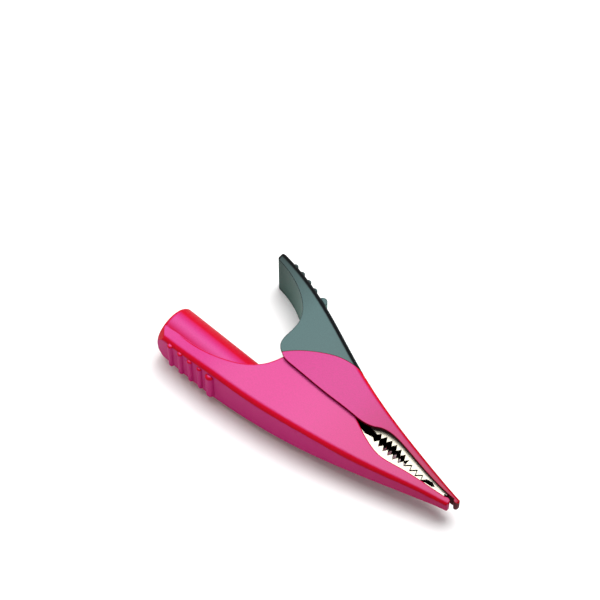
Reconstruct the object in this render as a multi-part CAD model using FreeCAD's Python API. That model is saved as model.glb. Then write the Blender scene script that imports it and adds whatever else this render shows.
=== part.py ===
import FreeCAD, Part
import math
import os

# Spring-loaded alligator clip that plugs onto a shrouded 4 mm test lead.
# Frame: origin at the centre of the lead socket's mouth, +X along the socket towards the
# nose, +Y from the body towards the thumb lever, +Z along the pivot. Millimetres.
# The clip is symmetric about the plane Z = 0.

V = FreeCAD.Vector

# ---------------------------------------------------------------- driving dimensions

# pivot, and the stack along it from the middle outwards
PIVOT = (52.2, 18.3)
RIVET_R = 2.0
RIVET_PLAY = 0.05
RIVET_HEAD_R = 3.4
RIVET_HEAD_T = 0.6
HEAD_SEAT_Z = 6.75
BUSH_R = 2.7
BUSH_HALF = 3.7
UPPER_EAR_Z = 4.55
WASHER_R = 3.3
WASHER_Z = (4.6, 4.88)

# torsion spring round the bush, with a leg against each jaw
WIRE_R = 0.55
COIL_R = 3.4
COIL_PITCH = 1.42
COIL_TURNS = 4
LOWER_LEG_DEG = -33.4
LOWER_LEG_LENGTH = 22.0
UPPER_LEG_DEG = 53.1
UPPER_LEG_LENGTH = 13.2

# tail tube and the socket inside it
TAIL_R = 8.0
TAIL_LENGTH = 34.5
TAIL_BORE_R = 5.8
TAIL_BORE_DEPTH = 26.0
STEM_BORE_R = 2.6
SHROUD_BORE_R = 4.2
SHROUD_DEPTH = 24.0
SLEEVE_R = 2.95
CONTACT_R = 2.45
SOCKET_R = 2.0
SOCKET_DEPTH = 21.5
SLEEVE_LIP = 1.5
CONTACT_HEAD_END = 24.0
LUG_START = 34.0
LUG_END = 43.0
LUG_HALF = 2.3
LUG_T = 1.0
LUG_RIVET_X = 39.5
LUG_RIVET_R = 1.2

# half thickness of the red body, of its cavity, of the cover with the lever, and of the
# steel jaws, each as (X, half thickness)
BODY_HALF = [(-2, 7.1), (7, 7.35), (14, 7.95), (22, 8.6), (36, 8.25), (52, 7.65), (69.5, 6.1), (89.5, 4.25), (113, 2.5)]
CAVITY_HALF = [(33, 5.9), (42, 6.0), (52, 5.95), (60.5, 5.5), (69.5, 4.75), (89.5, 3.1), (113, 1.5)]
COVER_HALF = [(0, 9.4), (18, 9.5), (36, 9.5), (52, 9.0), (69.5, 7.4), (89.5, 4.75), (115, 2.3)]
UPPER_STEEL_HALF = [(18, 4.6), (35, 4.6), (52, 4.6), (62, 4.6), (73.5, 4.3), (89.5, 3.05), (113, 1.45)]
CHEEK_WALL = 1.0
STEEL = 0.8
STEEL_PLAY = 0.05
ROOF_DROP = 1.85
TANG_END = 32.0

# red body in plan: its outer face, its edge towards the jaws and its edge over the tail
OUTER_FACE = [
    (1.0, -7.9), (14, -7.9), (28, -7.3), (40, -6.3), (52, -4.6), (64, -2.3), (76, 0.4), (88, 3.8), (107.6, 9.3)
]
LOWER_NOSE = (109.1, 10.6)
LOWER_JAW_EDGE = [(107.4, 11.75), (100, 10.8), (90, 9.3), (81.9, 8.1), (76, 9.5), (69.3, 12.3)]
TAIL_CREASE = [(33.5, 5.6), (28.8, 1.7), (22.7, -1.1), (15.4, -2.8), (4.0, -2.6)]
NOTCH = [(38.0, 14.5), (36.9, 11.4), (35.4, 8.2), (33.5, 5.6)]
REAR_WALL_T = 1.6
EAR_ROOT = [(69.3, 12.3), (61, 12.7), (50, 12.7), (42, 13.2), (38.0, 14.5)]
EAR_R = 5.8
EAR_INSET = 0.5
FLOOR_T = 1.8
CHANNEL_END = 106.8
JAW_EDGE_R = 0.5
NOTCH_EDGE_R = 0.7
MOUTH_EDGE_R = 1.5
NOSE_R = 0.8

# radius of the body's rounded outer edges as (X, radius), where the rounding is taken, and
# the cone, as X and radius at either end, that brings the pad down to the mouth of the tail
BODY_EDGE_R = [(-2, 2.1), (40, 2.2), (80, 2.0), (100, 1.6), (115, 1.0)]
BODY_STATIONS = [-1, 3, 7, 14, 22, 36, 52, 69.5, 89.5, 100, 110]
PAD_CONE = (0.6, 7.95, 6.5, 12.2)
ENVELOPE_GAP = 0.08
SLOPE_STEP = 0.4

# grip ribs across the body's outer face, the last one larger
TAIL_RIBS_X = [6.9, 11.3, 15.5, 19.6]
TAIL_RIB_R = 1.05
TAIL_RIB_RISE = 0.9
TAIL_END_RIB_X = 23.9
TAIL_END_RIB_R = 1.6
TAIL_END_RIB_RISE = 1.5
TAIL_RIB_HALF = 6.5

# red cover and black lever in plan: they share the top edge and meet along the seam
CHEEK_EDGE = [(36.6, 13.2), (38.6, 12.2), (42.0, 11.9), (50, 11.8), (58.3, 11.9), (66.3, 12.3), (72.5, 12.7), (75.6, 13.9)]
UPPER_JAW_EDGE = [(75.6, 13.9), (79.5, 15.7), (84.4, 15.8), (91, 14.8), (98.7, 13.6), (109.4, 12.9)]
UPPER_NOSE = (111.3, 13.2)
TOP_EDGE = [
    (110.2, 14.0), (101.5, 15.5), (89.5, 17.8), (75.5, 20.9), (63.5, 24.5), (51.5, 29.2), (39.5, 34.3), (27.5, 38.6),
    (14.6, 41.5)
]
LEVER_TIP = (11.7, 40.2)
LEVER_INNER = [(12.9, 38.1), (18.9, 36.8), (25.3, 34.0), (30.5, 30.0), (33.3, 25.0), (33.6, 20.0), (34.0, 15.6), (36.6, 13.2)]
SEAM = [(36.6, 13.2), (40.6, 17.4), (45.8, 21.2), (51.7, 24.2), (57.3, 25.3), (63.5, 25.5)]
COVER_ROOF_T = 1.4
LEVER_ROOF_T = 1.7
REAR_WALL_END = 19.6
LEVER_TIP_R = 1.2

# radius of the rounded top edges as (X, radius), and where the rounding is taken
TOP_EDGE_R = [(0, 2.4), (18, 2.5), (35, 2.5), (55, 2.2), (70, 1.8), (90, 1.5), (115, 1.0)]
TOP_STATIONS = [10, 18, 28, 36, 45, 52, 60, 69.5, 80, 89.5, 100, 112]

# ribs across the lever's outer face, the last one larger
LEVER_RIBS_X = [17.9, 21.4, 25.0, 28.6]
LEVER_RIB_R = 1.1
LEVER_RIB_RISE = 0.6
LEVER_END_RIB_X = 33.4
LEVER_END_RIB_R = 1.6
LEVER_END_RIB_RISE = 1.5
LEVER_RIB_HALF = 7.6

# pins that hold the cover and the lever on the upper steel jaw
PIN_R = 1.0
COVER_PIN = (62.6, 19.0)
LEVER_PIN = (40.4, 28.7)
BOSS_R = 2.0
BOSS_BASE = 0.3
PIN_PLAY = 0.02
PIN_END_GAP = 0.3

# teeth of the steel jaws: fine rows round the wire gap, then coarse interlocking ones,
# a small round gap and flat pads at the tip
LOWER_ROOTS = [(78.0, 10.7), (82.3, 10.0), (86.5, 10.0), (90.3, 10.6)]
LOWER_TEETH = 6
UPPER_ROOTS = [(78.0, 14.4), (82.0, 15.0), (86.0, 14.7), (90.3, 13.7)]
UPPER_TEETH = 6
FINE_RISE = 1.65
COARSE_START = 90.3
COARSE_TEETH = 3
COARSE_PITCH = 2.35
COARSE_RISE = 1.7
BITE_Y = 11.9
BITE_GAP = 0.65
PAD_START = 102.0
PAD_END = 106.6
PAD_TOP = 13.05
PAD_Y = 12.15
PAD_SLOPE = 0.08


# ---------------------------------------------------------------- shared geometry

def curve(points, dy=0.0):
    """Smooth edge through (x, y) points, moved up by dy."""
    spline = Part.BSplineCurve()
    spline.interpolate([V(x, y + dy, 0) for x, y in points])
    return [spline.toShape()]


def line(points, dy=0.0):
    """Straight edges through (x, y) points, moved up by dy."""
    corners = [V(x, y + dy, 0) for x, y in points]
    return [Part.makeLine(a, b) for a, b in zip(corners, corners[1:]) if a.distanceToPoint(b) > 1e-6]


def arc(start, middle, end):
    """Arc through three (x, y) points."""
    return [Part.Arc(V(*start, 0), V(*middle, 0), V(*end, 0)).toShape()]


def plan(strokes, half):
    """Solid with the closed outline that the strokes make in plan, from -half to half in Z."""
    edges = [edge for stroke in strokes for edge in stroke]
    wire = Part.Wire(Part.__sortEdges__(edges))
    assert wire.isClosed()
    solid = Part.Face(wire).extrude(V(0, 0, 2 * half))
    solid.translate(V(0, 0, -half))
    return solid


def slab(profile, inset=0.0):
    """Solid between the two side surfaces whose half thickness follows the profile along X."""
    top = Part.BSplineCurve()
    top.interpolate([V(x, -20, h - inset) for x, h in profile])
    low = Part.BSplineCurve()
    low.interpolate([V(x, -20, inset - h) for x, h in profile])
    (x0, h0), (x1, h1) = profile[0], profile[-1]
    ends = [
        Part.makeLine(V(x0, -20, h0 - inset), V(x0, -20, inset - h0)),
        Part.makeLine(V(x1, -20, h1 - inset), V(x1, -20, inset - h1)),
    ]
    wire = Part.Wire(Part.__sortEdges__([top.toShape(), low.toShape()] + ends))
    return Part.Face(wire).extrude(V(0, 80, 0))


def envelope(stations, outer, profile, radii, open_y):
    """Solid as wide as the profile, with rounded edges along outer, open towards open_y.

    It is lofted through one section per station. Its edges are shifted outwards by
    ENVELOPE_GAP, so that it crosses the faces it rounds instead of only touching them.
    """
    sections = []
    for x in stations:
        toward = 1 if open_y > 0 else -1
        y = reach(outer, x) - toward * ENVELOPE_GAP
        h = height_at(profile, x)
        r = height_at(radii, x)
        bend = r * (1 - math.sqrt(0.5))
        near = [V(x, y + toward * r, h), V(x, y + toward * bend, h - bend), V(x, y, h - r)]
        far = [V(p.x, p.y, -p.z) for p in reversed(near)]
        sections.append(Part.Wire([
            Part.makeLine(V(x, open_y, h), near[0]),
            Part.Arc(*near).toShape(),
            Part.makeLine(near[2], far[0]),
            Part.Arc(*far).toShape(),
            Part.makeLine(far[2], V(x, open_y, -h)),
            Part.makeLine(V(x, open_y, -h), V(x, open_y, h)),
        ]))
    return Part.makeLoft(sections, True)


def height_at(points, x):
    """Y of the smooth curve through the points at the given X."""
    spline = Part.BSplineCurve()
    spline.interpolate([V(px, py, 0) for px, py in points])
    cut = spline.intersectCC(Part.Line(V(x, -50, 0), V(x, 80, 0)))
    return cut[0].Y


def reach(points, x):
    """Height of the curve at x, carried on straight beyond either of its ends."""
    low, high = sorted((points[0][0], points[-1][0]))
    near = min(max(x, low + SLOPE_STEP), high - SLOPE_STEP)
    rise = height_at(points, near + SLOPE_STEP) - height_at(points, near - SLOPE_STEP)
    return height_at(points, near) + (x - near) * rise / (2 * SLOPE_STEP)


def under_top(x, drop):
    """Point at the given X, drop below the top edge of the cover and the lever."""
    return (x, height_at(TOP_EDGE, x) - drop)


def along_z(x, y, radius, half):
    """Cylinder along Z centred on the plane Z = 0."""
    return Part.makeCylinder(radius, 2 * half, V(x, y, -half), V(0, 0, 1))


def ring_z(x, y, outer, inner, z0, z1):
    """Ring along Z between z0 and z1."""
    body = Part.makeCylinder(outer, z1 - z0, V(x, y, z0), V(0, 0, 1))
    return body.cut(Part.makeCylinder(inner, z1 - z0, V(x, y, z0), V(0, 0, 1)))


def tube_x(outer, inner, x0, x1):
    """Tube along the socket's axis between x0 and x1."""
    body = Part.makeCylinder(outer, x1 - x0, V(x0, 0, 0), V(1, 0, 0))
    if inner > 0:
        body = body.cut(Part.makeCylinder(inner, x1 - x0, V(x0, 0, 0), V(1, 0, 0)))
    return body


def both_sides(solid):
    """The solid and its mirror image in the plane Z = 0."""
    return [solid, solid.mirror(V(0, 0, 0), V(0, 0, 1))]


def on_curve(p, points, x0, x1):
    """Whether the point lies over the smooth curve between x0 and x1."""
    return x0 < p.x < x1 and abs(p.y - height_at(points, p.x)) < 0.3


def rounded(solid, radius, chosen):
    """The solid with the edges that chosen(midpoint) accepts rounded off, one at a time."""
    for place in [middle(edge) for edge in solid.Edges if chosen(middle(edge))]:
        edge = min(solid.Edges, key=lambda e: middle(e).distanceToPoint(place))
        solid = solid.makeFillet(radius, [edge])
    return solid


def round_end(solid, x_end, half, radius, sense):
    """The solid with both corners, seen along Y, of its end at x_end rounded off."""
    x = x_end - sense * radius
    z = half - radius
    block = Part.makeBox(2 * radius, 90, 2 * radius, V(min(x, x + sense * 2 * radius), -30, z))
    corner = block.cut(Part.makeCylinder(radius, 90, V(x, -30, z), V(0, 1, 0)))
    return solid.cut(both_sides(corner))


def middle(edge):
    return edge.valueAt((edge.FirstParameter + edge.LastParameter) / 2)


def teeth(points, count, rise):
    """Zigzag of triangular teeth whose roots lie on the smooth curve through the points."""
    x0, x1 = points[0][0], points[-1][0]
    pitch = (x1 - x0) / count
    zigzag = [points[0]]
    for i in range(1, 2 * count):
        x = x0 + i * pitch / 2
        zigzag.append((x, height_at(points, x) + (rise if i % 2 else 0)))
    zigzag.append(points[-1])
    return zigzag


def export(name, shape):
    """Write one sub-part, after checking that it is made of closed solids."""
    solids = shape.Solids
    assert solids and all(s.isValid() and s.Volume > 0 for s in solids), name
    if len(solids) == 1:
        solids[0].exportStep("parts/" + name + ".step")
    else:
        Part.makeCompound(solids).exportStep("parts/" + name + ".step")
    box = shape.BoundBox
    print(f"{name:20s} solids {len(solids)}  volume {shape.Volume:9.2f}  "
          f"X {box.XMin:7.2f} {box.XMax:7.2f}  Y {box.YMin:7.2f} {box.YMax:7.2f}  Z {box.ZMin:6.2f} {box.ZMax:6.2f}")


# ---------------------------------------------------------------- red body

def lower_body_shell():
    """One red moulding: round tail, ribbed outer face, channel for the steel jaw, two ears."""
    tail_end = TAIL_CREASE[-1]
    plate = plan([
        curve(OUTER_FACE),
        arc(OUTER_FACE[-1], LOWER_NOSE, LOWER_JAW_EDGE[0]),
        curve(LOWER_JAW_EDGE),
        curve(EAR_ROOT),
        curve(NOTCH),
        curve(TAIL_CREASE),
        line([tail_end, (OUTER_FACE[0][0], tail_end[1]), OUTER_FACE[0]]),
    ], 12)
    plate = plate.common(envelope(BODY_STATIONS, OUTER_FACE, BODY_HALF, BODY_EDGE_R, 40))
    plate = rounded(plate, JAW_EDGE_R, lambda p: on_curve(p, LOWER_JAW_EDGE, 72, 104))
    plate = rounded(plate, NOTCH_EDGE_R, lambda p: on_curve(p, NOTCH, 34, 37.5))
    plate = round_end(plate, LOWER_NOSE[0], height_at(BODY_HALF, LOWER_NOSE[0]), NOSE_R, 1)
    plate = plate.cut(outside_cone())
    under = plan([
        curve(OUTER_FACE),
        line([OUTER_FACE[-1], (OUTER_FACE[-1][0], -20), (OUTER_FACE[0][0], -20), OUTER_FACE[0]]),
    ], 12)
    tail = rounded(tube_x(TAIL_R, 0, 0, TAIL_LENGTH), MOUTH_EDGE_R, lambda p: p.x < 0.1).cut(under)
    body = plate.fuse(tail).fuse(ears())
    body = body.cut(channel())
    body = body.cut(tube_x(TAIL_BORE_R, 0, -1, TAIL_BORE_DEPTH))
    body = body.cut(tube_x(STEM_BORE_R, 0, TAIL_BORE_DEPTH - 1, LUG_START + 4))
    body = body.fuse(tail_ribs())
    body = body.cut(along_z(*PIVOT, RIVET_R + RIVET_PLAY, 12))
    for seat in both_sides(ring_z(*PIVOT, RIVET_HEAD_R + 0.2, RIVET_R, HEAD_SEAT_Z, 12)):
        body = body.cut(seat)
    return body.removeSplitter()


def outside_cone():
    """What the pad loses round the mouth, so that it grows out of the round tube."""
    x0, r0, x1, r1 = PAD_CONE
    block = Part.makeBox(x1, 60, 60, V(0, -30, -30))
    core = Part.makeCylinder(r0, x0, V(0, 0, 0), V(1, 0, 0))
    return block.cut(core).cut(Part.makeCone(r0, r1, x1 - x0, V(x0, 0, 0), V(1, 0, 0)))


def ears():
    """Two ears that carry the rivet, set in so that the cover's cheeks slide over them."""
    px, py = PIVOT
    top = (px, py + EAR_R)
    left = (px - EAR_R, py)
    right = (px + EAR_R, py)
    outline = plan([
        curve(EAR_ROOT),
        line([EAR_ROOT[-1], (40.5, 15.0), left]),
        arc(left, top, right),
        line([right, (60.0, 13.5), EAR_ROOT[0]]),
    ], 12)
    return outline.common(slab(BODY_HALF, EAR_INSET))


def channel():
    """Space between the side walls, open towards the lever and closed at the tail."""
    start = (TAIL_LENGTH + 0.5, -1.5)
    bend = (40.0, height_at(OUTER_FACE, 40.0) + FLOOR_T)
    end = (CHANNEL_END, height_at(OUTER_FACE, CHANNEL_END) + FLOOR_T)
    wall = [(x + REAR_WALL_T, y) for x, y in NOTCH]
    outline = plan([
        line([start, bend]),
        curve([bend] + [(x, y + FLOOR_T) for x, y in OUTER_FACE if 50 < x < 100] + [end]),
        line([end, (end[0], 40.0), (wall[0][0], 40.0), wall[0]]),
        curve(wall),
        line([wall[-1], start]),
    ], 12)
    return outline.common(slab(CAVITY_HALF))


def tail_ribs():
    """Grip ribs across the outer face of the tail."""
    last = tail_rib(TAIL_END_RIB_X, TAIL_END_RIB_R, TAIL_END_RIB_RISE)
    return last.fuse([tail_rib(x, TAIL_RIB_R, TAIL_RIB_RISE) for x in TAIL_RIBS_X])


def tail_rib(x, radius, rise):
    """Rounded bar along Z that stands out of the outer face by rise."""
    bar = along_z(x, height_at(OUTER_FACE, x) - rise + radius, radius, TAIL_RIB_HALF)
    return rounded(bar, rise * 0.8, lambda p: abs(p.z) > TAIL_RIB_HALF - 0.1)


# ---------------------------------------------------------------- steel jaws

def u_section(outline, profile):
    """Bent sheet: two flanges that follow the profile, inside the outline in plan."""
    outer = outline.common(slab(profile, STEEL_PLAY))
    return outer.cut(outline.common(slab(profile, STEEL_PLAY + STEEL)))


def sheet(points, profile):
    """Sheet between the flanges whose lower face follows the smooth curve through the points."""
    strip = plan([
        curve(points),
        line([points[-1], (points[-1][0], points[-1][1] + STEEL)]),
        curve(points, STEEL),
        line([(points[0][0], points[0][1] + STEEL), points[0]]),
    ], 12)
    return strip.common(slab(profile, STEEL_PLAY))


def coarse_teeth(offset):
    """Saw-toothed bite line, moved by offset along Y."""
    points = []
    for i in range(COARSE_TEETH):
        x = COARSE_START + i * COARSE_PITCH
        y = BITE_Y + offset - 0.1 * i
        points.append((x, y - COARSE_RISE / 2))
        points.append((x + 0.75 * COARSE_PITCH, y + COARSE_RISE / 2))
    points.append((COARSE_START + COARSE_TEETH * COARSE_PITCH, BITE_Y + offset - 0.1 * COARSE_TEETH - COARSE_RISE / 2))
    return points


def lower_steel_jaw():
    """U-section lower jaw: floor, toothed flanges, ears on the rivet, tongue under the contact."""
    px, py = PIVOT
    ear = 5.0
    lift = FLOOR_T + 0.02
    floor = [(41.5, height_at(OUTER_FACE, 41.5) + lift)]
    floor += [(x, y + lift) for x, y in OUTER_FACE if 50 < x < 100]
    floor.append((106.6, height_at(OUTER_FACE, 106.6) + lift))
    bite = coarse_teeth(-BITE_GAP / 2)
    pad_low = PAD_Y - 0.05
    tip = [
        bite[-1], (99.0, 11.2), (PAD_START - 0.6, 11.5), (PAD_START, pad_low),
        (PAD_END - 0.8, pad_low + PAD_SLOPE * (PAD_END - PAD_START)), floor[-1],
    ]
    outline = plan([
        curve(floor),
        line(teeth(LOWER_ROOTS, LOWER_TEETH, FINE_RISE)),
        line([LOWER_ROOTS[-1], bite[0]]),
        line(bite),
        line(tip),
        line([floor[0], (44.0, 6.0), (px - ear, py - 1.0)]),
        arc((px - ear, py - 1.0), (px, py + ear), (px + ear, py - 1.0)),
        line([(px + ear, py - 1.0), (67.5, 12.4), (73.9, 10.9), (76.8, 11.6), LOWER_ROOTS[0]]),
    ], 12)
    jaw = u_section(outline, CAVITY_HALF).fuse(sheet(floor, CAVITY_HALF))
    tongue = plan([line([
        (41.4, floor[0][1]), (43.0, floor[0][1] + 0.4), (43.6, 0.0), (LUG_START + 2.2, 0.0),
        (LUG_START + 2.2, -STEEL), (42.0, -STEEL), (41.4, floor[0][1]),
    ])], LUG_HALF)
    jaw = jaw.fuse(tongue)
    jaw = jaw.cut(lug_hole())
    return jaw.cut(along_z(px, py, RIVET_R + RIVET_PLAY, 12)).removeSplitter()


def upper_steel_jaw():
    """U-section upper jaw: roof under the cover, toothed flanges, ears and a tang in the lever."""
    px, py = PIVOT
    ear = 4.8
    roof = [under_top(x, ROOF_DROP + STEEL) for x in (103.5, 97, 89.5, 75.5, 63.5, 51.5, 39.5, TANG_END)]
    bite = coarse_teeth(BITE_GAP / 2)
    pad_high = PAD_Y + 0.05
    outline = plan([
        curve([(x, y + STEEL) for x, y in roof]),
        line([(TANG_END, roof[-1][1] + STEEL), (33.5, 31.4), (37.0, 28.0), (px - ear, py + 1.0)]),
        arc((px - ear, py + 1.0), (px, py - ear), (px + ear, py + 1.0)),
        line([(px + ear, py + 1.0), (66.0, 15.4), (73.5, 14.0), (77.2, 13.3), UPPER_ROOTS[0]]),
        line(teeth(UPPER_ROOTS, UPPER_TEETH, -FINE_RISE)),
        line([UPPER_ROOTS[-1], bite[0]]),
        line(bite),
        line([
            bite[-1], (98.6, 12.5), (PAD_START - 1.4, 12.9), (PAD_START, pad_high),
            (PAD_END, pad_high + PAD_SLOPE * (PAD_END - PAD_START)), (PAD_END, PAD_TOP),
            (roof[0][0], roof[0][1] + STEEL),
        ]),
    ], 12)
    jaw = u_section(outline, UPPER_STEEL_HALF).fuse(sheet(list(reversed(roof)), UPPER_STEEL_HALF))
    for x, y, r in ((px, py, RIVET_R + RIVET_PLAY), (*COVER_PIN, PIN_R + PIN_PLAY), (*LEVER_PIN, PIN_R + PIN_PLAY)):
        jaw = jaw.cut(along_z(x, y, r, 12))
    return jaw.removeSplitter()


# ---------------------------------------------------------------- cover and lever

def upper_block():
    """The cover and the lever together, before the seam parts them and they are hollowed."""
    outline = plan([
        curve(TOP_EDGE),
        arc(TOP_EDGE[-1], LEVER_TIP, LEVER_INNER[0]),
        curve(LEVER_INNER),
        curve(CHEEK_EDGE),
        curve(UPPER_JAW_EDGE),
        arc(UPPER_JAW_EDGE[-1], UPPER_NOSE, TOP_EDGE[0]),
    ], 12)
    block = outline.common(envelope(TOP_STATIONS, TOP_EDGE, COVER_HALF, TOP_EDGE_R, -20))
    block = round_end(block, UPPER_NOSE[0], height_at(COVER_HALF, UPPER_NOSE[0]), NOSE_R, 1)
    return round_end(block, LEVER_TIP[0], height_at(COVER_HALF, LEVER_TIP[0]), LEVER_TIP_R, -1)


def cover_side():
    """Everything on the red cover's side of the seam."""
    return plan([
        curve(SEAM),
        line([SEAM[-1], (SEAM[-1][0], 60), (130, 60), (130, -20), (20, -20), (20, SEAM[0][1] - 0.5), SEAM[0]]),
    ], 20)


def upper_jaw_cover():
    """Red moulding: two leaf-shaped cheeks joined by a roof along the upper jaw."""
    cover = upper_block().common(cover_side())
    cover = cover.cut(cover_hollow())
    return with_bosses(cover, COVER_PIN).removeSplitter()


def cover_hollow():
    """Space between the cheeks and under the roof."""
    inner = [under_top(x, COVER_ROOF_T) for x in (101.5, 89.5, 75.5, 63.5)]
    start = (108.0, 13.1)
    end = inner[-1]
    outline = plan([
        curve([start] + inner),
        line([end, (end[0] - 4, end[1] + 6), (20, end[1] + 6), (20, -5), (start[0], -5), start]),
    ], 12)
    return outline.common(slab(COVER_HALF, CHEEK_WALL))


def with_bosses(moulding, place):
    """The moulding with a boss on the inside of each side wall that takes one end of a pin."""
    wall = height_at(COVER_HALF, place[0]) - CHEEK_WALL
    for boss in both_sides(ring_z(*place, BOSS_R, PIN_R + PIN_PLAY, UPPER_EAR_Z + 0.1, wall + BOSS_BASE)):
        moulding = moulding.fuse(boss)
    return moulding


def thumb_lever():
    """Black moulding: finger plate, roof over the pivot and two side walls down to the seam."""
    lever = upper_block().cut(cover_side())
    lever = lever.cut(lever_hollow())
    ribs = [lever_rib(x, LEVER_RIB_R, LEVER_RIB_RISE) for x in LEVER_RIBS_X]
    ribs.append(lever_rib(LEVER_END_RIB_X, LEVER_END_RIB_R, LEVER_END_RIB_RISE))
    return with_bosses(lever.fuse(ribs), LEVER_PIN).removeSplitter()


def lever_rib(x, radius, rise):
    """Rounded bar along Z on the lever's outer face, which it stands out of by rise."""
    return along_z(x, height_at(TOP_EDGE, x) + rise - radius, radius, LEVER_RIB_HALF)


def lever_hollow():
    """Space under the lever's roof and in front of its rear wall."""
    roof = [under_top(x, LEVER_ROOF_T) for x in (75.5, 63.5, 51.5, 39.5, 31.0)]
    wall = [roof[-1], (30.8, 33.6), (35.3, 27.5), (35.3, REAR_WALL_END), (20.0, REAR_WALL_END), (20.0, 5.0)]
    outline = plan([
        curve(roof),
        line(wall + [(roof[0][0], 5.0), roof[0]]),
    ], 12)
    return outline.common(slab(COVER_HALF, CHEEK_WALL))


# ---------------------------------------------------------------- pivot and spring

def pivot_rivet():
    """Rivet through both jaws, with its factory head on the near side."""
    px, py = PIVOT
    end = HEAD_SEAT_Z + RIVET_HEAD_T
    shank = Part.makeCylinder(RIVET_R, 2 * end - 0.1, V(px, py, 0.1 - end), V(0, 0, 1))
    head = Part.makeCylinder(RIVET_HEAD_R, RIVET_HEAD_T, V(px, py, HEAD_SEAT_Z), V(0, 0, 1))
    return shank.fuse(head).removeSplitter()


def rivet_cap():
    """Cap pressed onto the rivet's far end."""
    return ring_z(*PIVOT, RIVET_HEAD_R, RIVET_R, -HEAD_SEAT_Z - RIVET_HEAD_T, -HEAD_SEAT_Z)


def pivot_bush():
    """Bush between the upper jaw's ears that the spring is wound round."""
    return ring_z(*PIVOT, BUSH_R, RIVET_R + RIVET_PLAY, -BUSH_HALF, BUSH_HALF)


def pivot_washer():
    """Washer between an upper and a lower ear, on the near side."""
    return ring_z(*PIVOT, WASHER_R, RIVET_R + RIVET_PLAY, *WASHER_Z)


def torsion_spring():
    """Closed coils round the bush, one leg on the lower jaw's floor, one under the upper's roof."""
    px, py = PIVOT
    turn = COIL_TURNS + (UPPER_LEG_DEG - LOWER_LEG_DEG) / 360
    height = turn * COIL_PITCH
    helix = Part.makeHelix(COIL_PITCH, height, COIL_R)
    helix.rotate(V(0, 0, 0), V(0, 0, 1), LOWER_LEG_DEG)
    helix.translate(V(px, py, -height / 2))
    edge = helix.Edges[0]
    start = edge.valueAt(edge.FirstParameter)
    ahead = edge.tangentAt(edge.FirstParameter)
    ring = Part.Wire(Part.makeCircle(WIRE_R, start, ahead))
    coil = Part.Wire(helix.Edges).makePipeShell([ring], True, True)
    legs = []
    for parameter, sense, length in (
        (edge.FirstParameter, -1, LOWER_LEG_LENGTH), (edge.LastParameter, 1, UPPER_LEG_LENGTH)
    ):
        along = edge.tangentAt(parameter) * sense
        along = V(along.x, along.y, 0)
        root = edge.valueAt(parameter)
        legs.append(Part.makeCylinder(WIRE_R, length, root, along))
        legs.append(Part.makeSphere(WIRE_R, root))
    return coil.fuse(legs).removeSplitter()


def pin(place):
    """Pin along Z through the upper steel jaw, whose ends stop just short of the side walls."""
    return along_z(*place, PIN_R, height_at(COVER_HALF, place[0]) - CHEEK_WALL - PIN_END_GAP)


# ---------------------------------------------------------------- lead socket

def socket_shroud():
    """Insulating insert with the round well that takes the plug's sheath."""
    shroud = tube_x(TAIL_BORE_R - 0.02, SHROUD_BORE_R, 0, SHROUD_DEPTH)
    floor = tube_x(TAIL_BORE_R - 0.02, CONTACT_R + 0.05, SHROUD_DEPTH, TAIL_BORE_DEPTH)
    return shroud.fuse(floor).removeSplitter()


def contact_sleeve():
    """Insulating sleeve round the contact, with a lip that keeps fingers off the metal."""
    lip = tube_x(SLEEVE_R, SOCKET_R, 0, SLEEVE_LIP)
    return lip.fuse(tube_x(SLEEVE_R, CONTACT_R + 0.02, SLEEVE_LIP, SHROUD_DEPTH)).removeSplitter()


def socket_contact():
    """Turned contact: socket for the 4 mm pin, stem, and a flat lug on the jaw's tongue."""
    body = tube_x(CONTACT_R, 0, SLEEVE_LIP, LUG_START + 2)
    body = body.cut(tube_x(SOCKET_R, 0, SLEEVE_LIP - 1, SOCKET_DEPTH))
    flat = Part.makeBox(4, 8, 12, V(LUG_START, -8, -6))
    body = body.cut(flat)
    lug = Part.makeBox(LUG_END - LUG_START, LUG_T, 2 * LUG_HALF, V(LUG_START, 0, -LUG_HALF))
    return body.fuse(lug).cut(lug_hole()).removeSplitter()


def lug_hole():
    return Part.makeCylinder(LUG_RIVET_R + 0.02, 4, V(LUG_RIVET_X, -1.5, 0), V(0, 1, 0))


def lug_rivet():
    """Rivet that joins the contact's lug to the lower steel jaw."""
    shank = Part.makeCylinder(LUG_RIVET_R, LUG_T + STEEL, V(LUG_RIVET_X, -STEEL, 0), V(0, 1, 0))
    heads = [
        Part.makeCylinder(2.0, 0.5, V(LUG_RIVET_X, LUG_T, 0), V(0, 1, 0)),
        Part.makeCylinder(2.0, 0.5, V(LUG_RIVET_X, -STEEL - 0.5, 0), V(0, 1, 0)),
    ]
    return shank.fuse(heads).removeSplitter()


if __name__ == "__main__":
    os.makedirs("parts", exist_ok=True)
    near_washer = pivot_washer()
    pieces = {
        "lower_body_shell": lower_body_shell(),
        "lower_steel_jaw": lower_steel_jaw(),
        "socket_shroud": socket_shroud(),
        "contact_sleeve": contact_sleeve(),
        "socket_contact": socket_contact(),
        "lug_rivet": lug_rivet(),
        "pivot_rivet": pivot_rivet(),
        "rivet_cap": rivet_cap(),
        "pivot_bush": pivot_bush(),
        "near_washer": near_washer,
        "far_washer": near_washer.mirror(V(0, 0, 0), V(0, 0, 1)),
        "torsion_spring": torsion_spring(),
        "upper_steel_jaw": upper_steel_jaw(),
        "upper_jaw_cover": upper_jaw_cover(),
        "thumb_lever": thumb_lever(),
        "cover_pin": pin(COVER_PIN),
        "lever_pin": pin(LEVER_PIN),
    }
    for name, shape in pieces.items():
        export(name, shape)
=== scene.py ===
from math import radians

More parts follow.
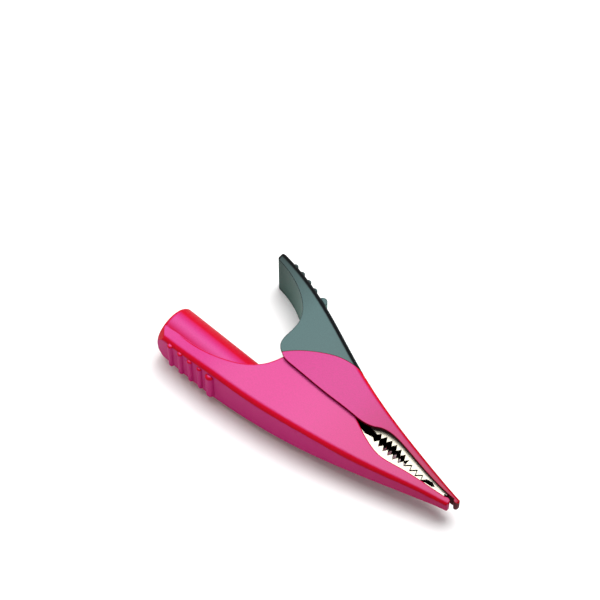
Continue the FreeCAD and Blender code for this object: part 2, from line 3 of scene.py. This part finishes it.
import bpy
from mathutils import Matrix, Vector


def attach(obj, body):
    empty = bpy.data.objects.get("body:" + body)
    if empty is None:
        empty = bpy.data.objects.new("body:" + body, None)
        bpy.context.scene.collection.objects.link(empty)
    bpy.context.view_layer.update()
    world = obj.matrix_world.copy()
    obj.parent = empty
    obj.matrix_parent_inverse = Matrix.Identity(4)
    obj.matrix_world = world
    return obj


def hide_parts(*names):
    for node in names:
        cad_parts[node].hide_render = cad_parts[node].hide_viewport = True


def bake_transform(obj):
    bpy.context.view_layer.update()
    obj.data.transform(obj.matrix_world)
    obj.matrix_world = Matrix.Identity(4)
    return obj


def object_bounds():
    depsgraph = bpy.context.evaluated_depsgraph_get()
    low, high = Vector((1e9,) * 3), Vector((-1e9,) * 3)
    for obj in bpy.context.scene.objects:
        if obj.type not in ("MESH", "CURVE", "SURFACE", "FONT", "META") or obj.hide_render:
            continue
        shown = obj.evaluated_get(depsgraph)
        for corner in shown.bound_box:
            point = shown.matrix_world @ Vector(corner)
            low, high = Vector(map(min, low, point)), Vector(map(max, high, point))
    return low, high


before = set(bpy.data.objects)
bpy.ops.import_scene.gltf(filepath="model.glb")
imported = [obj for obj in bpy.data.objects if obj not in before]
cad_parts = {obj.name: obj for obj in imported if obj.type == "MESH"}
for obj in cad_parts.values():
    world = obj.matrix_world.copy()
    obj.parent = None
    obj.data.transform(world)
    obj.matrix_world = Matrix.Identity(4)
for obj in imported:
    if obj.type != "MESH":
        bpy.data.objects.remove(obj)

cad_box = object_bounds()
MM = 0.001


# ------------------------------------------------------------------ view, floor and light
# A plain pale table top under the clip, which lies on its side. A long lens looks down on it
# at 60 degrees. Two wide round lights above throw the soft shadow and light the flats, whose
# bloom is partly painted into the PVC colour as a reflection; two weak ones in front and on the
# left fill the walls.

def point_at(thing, target):
    """Turns a camera or a light so that it looks at the target."""
    thing.rotation_euler = (Vector(target) - thing.location).to_track_quat("-Z", "Y").to_euler()


def linear(hex_colour):
    """An sRGB hex colour as the linear RGBA that the shaders take."""
    channels = [int(hex_colour[i:i + 2], 16) / 255 for i in (1, 3, 5)]
    return [c / 12.92 if c <= 0.04045 else ((c + 0.055) / 1.055) ** 2.4 for c in channels] + [1.0]


camera = bpy.data.objects.new("camera", bpy.data.cameras.new("camera"))
bpy.context.scene.collection.objects.link(camera)
camera.location = (0.2771, -0.2475, 0.6570)
camera.data.lens = 137.9
camera.data.sensor_width = 36
camera.data.clip_start = 0.05
LOOK_AT = (0.02095, 0.0394, -0.0092)
point_at(camera, LOOK_AT)
bpy.context.scene.camera = camera

MIDDLE_OF_CLIP = (0.055, 0.015, 0.0)
for name, place, width, watts in (
    ("key_light", (0.09, 0.28, 0.74), 0.52, 4.6),
    ("top_light", (-0.12, 0.14, 0.78), 0.64, 3.9),
    ("front_light", (0.30, -0.60, 0.35), 0.40, 0.25),
    ("left_light", (-0.62, 0.02, 0.30), 0.30, 1.0),
):
    light = bpy.data.lights.new(name, "AREA")
    light.shape = "DISK"
    light.size = width
    light.energy = watts
    lamp = bpy.data.objects.new(name, light)
    bpy.context.scene.collection.objects.link(lamp)
    lamp.location = place
    point_at(lamp, MIDDLE_OF_CLIP)

world = bpy.data.worlds.new("studio")
world.use_nodes = True
room = world.node_tree.nodes["Background"]
room.inputs["Color"].default_value = linear("#ffffff")
room.inputs["Strength"].default_value = 0.30
bpy.context.scene.world = world
bpy.context.scene.view_settings.view_transform = "Standard"


def add(material, kind, links=None, **values):
    """Adds a shader node to a material, sets its properties and sockets, and links its inputs."""
    node = material.node_tree.nodes.new(kind)
    for name, value in values.items():
        if hasattr(node, name):
            setattr(node, name, value)
        else:
            node.inputs[name.replace("_", " ")].default_value = value
    for name, socket in (links or {}).items():
        material.node_tree.links.new(socket, node.inputs[name])
    return node


def new_material(name):
    """An empty node material with its output, ready for a shader."""
    material = bpy.data.materials.new(name)
    material.use_nodes = True
    material.node_tree.nodes.clear()
    return material


# A Mix node's sockets for two colours and their mixture go by number, as their names repeat.
COLOUR_A, COLOUR_B, COLOUR_OUT = 6, 7, 2
CLOUDS_PER_METRE = 120.0


def laminate_white():
    """White laminate board: matt, with a cloudiness so slight that it reads as plain white."""
    material = new_material("white_laminate")
    place = add(material, "ShaderNodeTexCoord")
    grain = add(material, "ShaderNodeTexNoise", {"Vector": place.outputs["Object"]},
                Scale=CLOUDS_PER_METRE)
    shade = add(material, "ShaderNodeMix", {"Factor": grain.outputs["Fac"]}, data_type="RGBA")
    shade.inputs[COLOUR_A].default_value = linear("#f4f4f4")
    shade.inputs[COLOUR_B].default_value = linear("#f8f8f8")
    shader = add(material, "ShaderNodeBsdfPrincipled", {"Base Color": shade.outputs[COLOUR_OUT]},
                 Roughness=0.75)
    add(material, "ShaderNodeOutputMaterial", {"Surface": shader.outputs["BSDF"]})
    return material


FLOOR_DROP = 0.1 * MM
bpy.ops.object.select_all(action="DESELECT")
bpy.ops.mesh.primitive_plane_add(size=3.0, location=(0, 0, cad_box[0][2] - FLOOR_DROP))
floor = bpy.context.object
floor.name = "table_top"
bpy.ops.object.transform_apply(location=True)
floor.data.materials.append(laminate_white())


# ------------------------------------------------------------------ body shell
# The lower half of the insulation: one moulding in soft red PVC, slid over the steel jaw from
# the nose. Its flats are finely sparked. Their paler pink bloom is a painted reflection of the
# lamps in the base colour, while the rounded edges keep the plastic's own saturated red.

SAME_POINT = 0.002 * MM
SMOOTH_UNDER = radians(25)
EDGE_BAND = 0.35 * MM


def joined_copy(node, body, material):
    """A copy of a CAD node with its loose triangles joined and its round faces shaded smooth.

    The normals are weighted by area, so a round edge does not spoil the flat face beside it.
    """
    piece = bpy.data.objects.new(node + "_skin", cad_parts[node].data.copy())
    bpy.context.scene.collection.objects.link(piece)
    bpy.ops.object.select_all(action="DESELECT")
    piece.select_set(True)
    bpy.context.view_layer.objects.active = piece
    bpy.ops.object.mode_set(mode="EDIT")
    bpy.ops.mesh.select_all(action="SELECT")
    bpy.ops.mesh.customdata_custom_splitnormals_clear()
    bpy.ops.mesh.remove_doubles(threshold=SAME_POINT)
    bpy.ops.object.mode_set(mode="OBJECT")
    bpy.ops.object.shade_smooth_by_angle(angle=SMOOTH_UNDER)
    even = piece.modifiers.new("even", "WEIGHTED_NORMAL")
    even.keep_sharp = True
    bpy.ops.object.modifier_apply(modifier="even")
    piece.data.materials.clear()
    piece.data.materials.append(material)
    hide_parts(node)
    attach(piece, body)


def moulded_pvc(name, tones, end_shade, roughness, grain_mm, mottle):
    """Moulded PVC whose tone follows how flat the surface lies to the mould's parting plane.

    tones are (how squarely a face lies to the parting plane, colour): 1 is a sparked flat and
    0 a wall along the draw, with the rounded edges between them. The tones paint light into the
    base colour: a paler painted reflection on the flats and painted shade or light on the walls.
    end_shade is (X where a painted shade along the clip starts, X where it is full, tint), in
    millimetres along the clip. The real spark grain is about 0.05 mm, too fine to see, so
    grain_mm is drawn several times coarser.
    """
    material = new_material(name)
    place = add(material, "ShaderNodeTexCoord")
    rim = add(material, "ShaderNodeBevel", samples=6, Radius=EDGE_BAND)
    split = add(material, "ShaderNodeSeparateXYZ", {"Vector": rim.outputs["Normal"]})
    flat = add(material, "ShaderNodeMath", {0: split.outputs["Z"]}, operation="ABSOLUTE")
    # Painted light: the ramp makes flat faces paler as a painted reflection of the lamps, and
    # walls darker or lighter as painted shade or light.
    ramp = add(material, "ShaderNodeValToRGB", {"Fac": flat.outputs["Value"]})
    stops = ramp.color_ramp.elements
    while len(stops) < len(tones):
        stops.new(0.5)
    for stop, (where, tone) in zip(stops, tones):
        stop.position = where
        stop.color = linear(tone)
    spot = add(material, "ShaderNodeSeparateXYZ", {"Vector": place.outputs["Object"]})
    # Painted shade: this tint darkens the colour along X towards one end, where the light falls
    # off.
    shade_from, shade_full, shade_tint = end_shade
    falloff = add(material, "ShaderNodeMapRange", {"Value": spot.outputs["X"]},
                 From_Min=shade_from * MM, From_Max=shade_full * MM)
    tint = add(material, "ShaderNodeMix",
               {"Factor": falloff.outputs["Result"], COLOUR_A: ramp.outputs["Color"]},
               data_type="RGBA", blend_type="MULTIPLY")
    tint.inputs[COLOUR_B].default_value = linear(shade_tint)
    speck = add(material, "ShaderNodeTexNoise", {"Vector": place.outputs["Object"]},
                Scale=1 / (grain_mm * MM), Detail=3.0, Roughness=0.7)
    strength = add(material, "ShaderNodeMapRange", {"Value": speck.outputs["Fac"]},
                   From_Min=0.3, From_Max=0.7, To_Min=1 - mottle, To_Max=1 + mottle)
    tone = add(material, "ShaderNodeHueSaturation",
               {"Color": tint.outputs[COLOUR_OUT], "Value": strength.outputs["Result"]})
    gloss = add(material, "ShaderNodeMapRange", {"Value": speck.outputs["Fac"]},
                To_Min=roughness - 0.06, To_Max=roughness + 0.06)
    shine = add(material, "ShaderNodeMapRange", {"Value": flat.outputs["Value"]},
                From_Min=0.9, To_Min=0.05, To_Max=0.26)
    relief = add(material, "ShaderNodeBump",
                 {"Height": speck.outputs["Fac"], "Normal": rim.outputs["Normal"]},
                 Strength=0.25, Distance=0.02 * MM)
    shader = add(material, "ShaderNodeBsdfPrincipled",
                 {"Base Color": tone.outputs["Color"], "Roughness": gloss.outputs["Result"],
                  "Specular IOR Level": shine.outputs["Result"],
                  "Normal": relief.outputs["Normal"]})
    add(material, "ShaderNodeOutputMaterial", {"Surface": shader.outputs["BSDF"]})
    return material


# Painted light in the tones: pink flats and magenta walls are painted reflections of the lamps
# and the white table; the red edges are the plastic's own colour. The colour darkens towards the
# nose as painted shade.
red_pvc = moulded_pvc(
    "moulded_red_pvc",
    [(0.00, "#b81a6c"), (0.22, "#b8145c"), (0.42, "#bc0018"),
     (0.90, "#bd0a2a"), (0.985, "#be2874"), (1.0, "#c02c7c")],
    end_shade=(60, 108, "#e89ac0"), roughness=0.42, grain_mm=0.45, mottle=0.09)

joined_copy("lower_body_shell", "lower_jaw", red_pvc)


# ------------------------------------------------------------------ steel jaws
# Two stampings in 0.8 mm sheet, folded to a U and toothed along both flanges, then barrel
# plated in bright nickel. The outsides of the flanges shine; the sheared edges and the inside
# of the fold are painted near black as shade, so the gap between the jaws reads dark.

OUTSIDE_FROM = 0.5 * MM
ROLLING_MARK = 3 * MM
SHEARED_EDGE = 0.12 * MM
DULL_PATCH = "#a5a195"
# Painted shade: near black put on the sheared edges and inside the fold, where shade falls.
PAINTED_INSIDE_SHADE = "#1c1815"


def nickel_plate(name, colour, roughness):
    """Bright nickel on the outer flats, and painted shade on the edges and inside the fold."""
    material = new_material(name)
    place = add(material, "ShaderNodeTexCoord")
    spot = add(material, "ShaderNodeSeparateXYZ", {"Vector": place.outputs["Object"]})
    facing = add(material, "ShaderNodeSeparateXYZ", {"Vector": place.outputs["Normal"]})
    outward = add(material, "ShaderNodeMath", {0: spot.outputs["Z"], 1: facing.outputs["Z"]},
                  operation="MULTIPLY")
    # Mask for the painted shade: faces that look into the fold or lie along the edges.
    inside = add(material, "ShaderNodeMath", {0: outward.outputs["Value"]}, operation="LESS_THAN")
    inside.inputs[1].default_value = OUTSIDE_FROM
    cloud = add(material, "ShaderNodeTexNoise", {"Vector": place.outputs["Object"]},
                Scale=1 / ROLLING_MARK, Detail=4.0)
    shade = add(material, "ShaderNodeMix", {"Factor": cloud.outputs["Fac"]}, data_type="RGBA")
    shade.inputs[COLOUR_A].default_value = linear(colour)
    shade.inputs[COLOUR_B].default_value = linear(DULL_PATCH)
    tone = add(material, "ShaderNodeMix",
               {"Factor": inside.outputs["Value"], COLOUR_A: shade.outputs[COLOUR_OUT]},
               data_type="RGBA")
    tone.inputs[COLOUR_B].default_value = linear(PAINTED_INSIDE_SHADE)
    gloss = add(material, "ShaderNodeMapRange", {"Value": cloud.outputs["Fac"]},
                To_Min=roughness - 0.05, To_Max=roughness + 0.08)
    edge = add(material, "ShaderNodeBevel", samples=4, Radius=SHEARED_EDGE)
    relief = add(material, "ShaderNodeBump",
                 {"Height": cloud.outputs["Fac"], "Normal": edge.outputs["Normal"]},
                 Strength=0.15, Distance=0.05 * MM)
    shader = add(material, "ShaderNodeBsdfPrincipled",
                 {"Base Color": tone.outputs[COLOUR_OUT], "Roughness": gloss.outputs["Result"],
                  "Normal": relief.outputs["Normal"]}, Metallic=1.0)
    add(material, "ShaderNodeOutputMaterial", {"Surface": shader.outputs["BSDF"]})
    return material


bright_nickel = nickel_plate("bright_nickel_plate", "#7a766b", 0.42)
joined_copy("lower_steel_jaw", "lower_jaw", bright_nickel)
joined_copy("upper_steel_jaw", "upper_jaw", bright_nickel)


# ------------------------------------------------------------------ cover
# The upper half of the insulation: two thin leaf-shaped cheeks and a roof in the same red PVC,
# pinned to the upper jaw. Its cheeks slide over the body's ears. Its flats carry a duller painted
# reflection, and its walls along the draw are painted dark maroon as shade.

# Painted light in the tones: a pink painted reflection on the flats, painted shade in dark maroon
# on the walls, and painted shade darkening towards the nose.
cover_pvc = moulded_pvc(
    "moulded_red_pvc_cover",
    [(0.00, "#5c0628"), (0.25, "#7a0628"), (0.45, "#b8000f"),
     (0.88, "#c40016"), (0.985, "#b42070"), (1.0, "#b62577")],
    end_shade=(66, 100, "#d8708c"), roughness=0.45, grain_mm=0.45, mottle=0.12)
joined_copy("upper_jaw_cover", "upper_jaw", cover_pvc)


# ------------------------------------------------------------------ thumb lever
# A stiffer moulding in black PVC on the rear of the upper jaw, ribbed where the thumb presses.
# The plastic is black, as on its rounded edges; the grey-green of its sparked flats is a
# painted reflection, and its paler walls are painted light from the left.

# Painted light in the tones: grey-green painted reflection on the flats, paler painted light on
# the walls; the colour also darkens towards the tip.
black_pvc = moulded_pvc(
    "moulded_black_pvc",
    [(0.00, "#64887f"), (0.12, "#3a504c"), (0.30, "#04080a"),
     (0.965, "#060b0d"), (0.993, "#3a5252"), (1.0, "#435f5f")],
    end_shade=(34, 13, "#84928f"), roughness=0.5, grain_mm=0.45, mottle=0.10)
joined_copy("thumb_lever", "upper_jaw", black_pvc)


# ------------------------------------------------------------------ lead socket
# A black insert pressed into the tail, with a ring-shaped well for the plug's sheath, and a
# sleeve round the nickel-plated contact. Both are moulded in a harder, glossier nylon.

black_nylon = moulded_pvc(
    "moulded_black_nylon",
    [(0.0, "#121414"), (1.0, "#161818")],
    end_shade=(0, 40, "#ffffff"), roughness=0.35, grain_mm=0.6, mottle=0.04)
for node in ("socket_shroud", "contact_sleeve"):
    joined_copy(node, "lower_jaw", black_nylon)
nickel_on_brass = nickel_plate("nickel_plated_brass", "#d8d2bd", 0.25)
joined_copy("socket_contact", "lower_jaw", nickel_on_brass)


# ------------------------------------------------------------------ turned steel parts
# Rivets, cap, bush, washers and pins: free-cutting steel, turned and then barrel polished,
# which leaves a grey metal with fine scratches in all directions. The real scratches are too
# fine to show, so they are drawn 0.3 mm apart.

SCRATCH = 0.3 * MM


def turned_steel():
    """Turned steel with fine random scratches from the barrel."""
    material = new_material("turned_steel")
    place = add(material, "ShaderNodeTexCoord")
    scratch = add(material, "ShaderNodeTexNoise", {"Vector": place.outputs["Object"]},
                  Scale=1 / SCRATCH, Detail=6.0)
    shade = add(material, "ShaderNodeMix", {"Factor": scratch.outputs["Fac"]}, data_type="RGBA")
    shade.inputs[COLOUR_A].default_value = linear("#9b9da0")
    shade.inputs[COLOUR_B].default_value = linear("#c4c6c9")
    gloss = add(material, "ShaderNodeMapRange", {"Value": scratch.outputs["Fac"]},
                To_Min=0.25, To_Max=0.45)
    shader = add(material, "ShaderNodeBsdfPrincipled",
                 {"Base Color": shade.outputs[COLOUR_OUT], "Roughness": gloss.outputs["Result"]},
                 Metallic=1.0)
    add(material, "ShaderNodeOutputMaterial", {"Surface": shader.outputs["BSDF"]})
    return material


steel = turned_steel()
for node in ("pivot_rivet", "rivet_cap", "pivot_bush", "near_washer", "far_washer", "lug_rivet"):
    joined_copy(node, "lower_jaw", steel)
for node in ("cover_pin", "lever_pin"):
    joined_copy(node, "upper_jaw", steel)


# ------------------------------------------------------------------ torsion spring
# Four and a bit turns of hard-drawn wire round the bush, with one leg pressing on the lower
# jaw's floor and the other under the upper jaw's roof. In the clip it winds up as the lever is
# pressed; this copy keeps one fixed shape.

spring = bpy.data.objects.new("torsion_spring_wire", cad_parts["torsion_spring"].data.copy())
bpy.context.scene.collection.objects.link(spring)
spring.data.materials.clear()
spring.data.materials.append(steel)
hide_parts("torsion_spring")
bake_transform(spring)
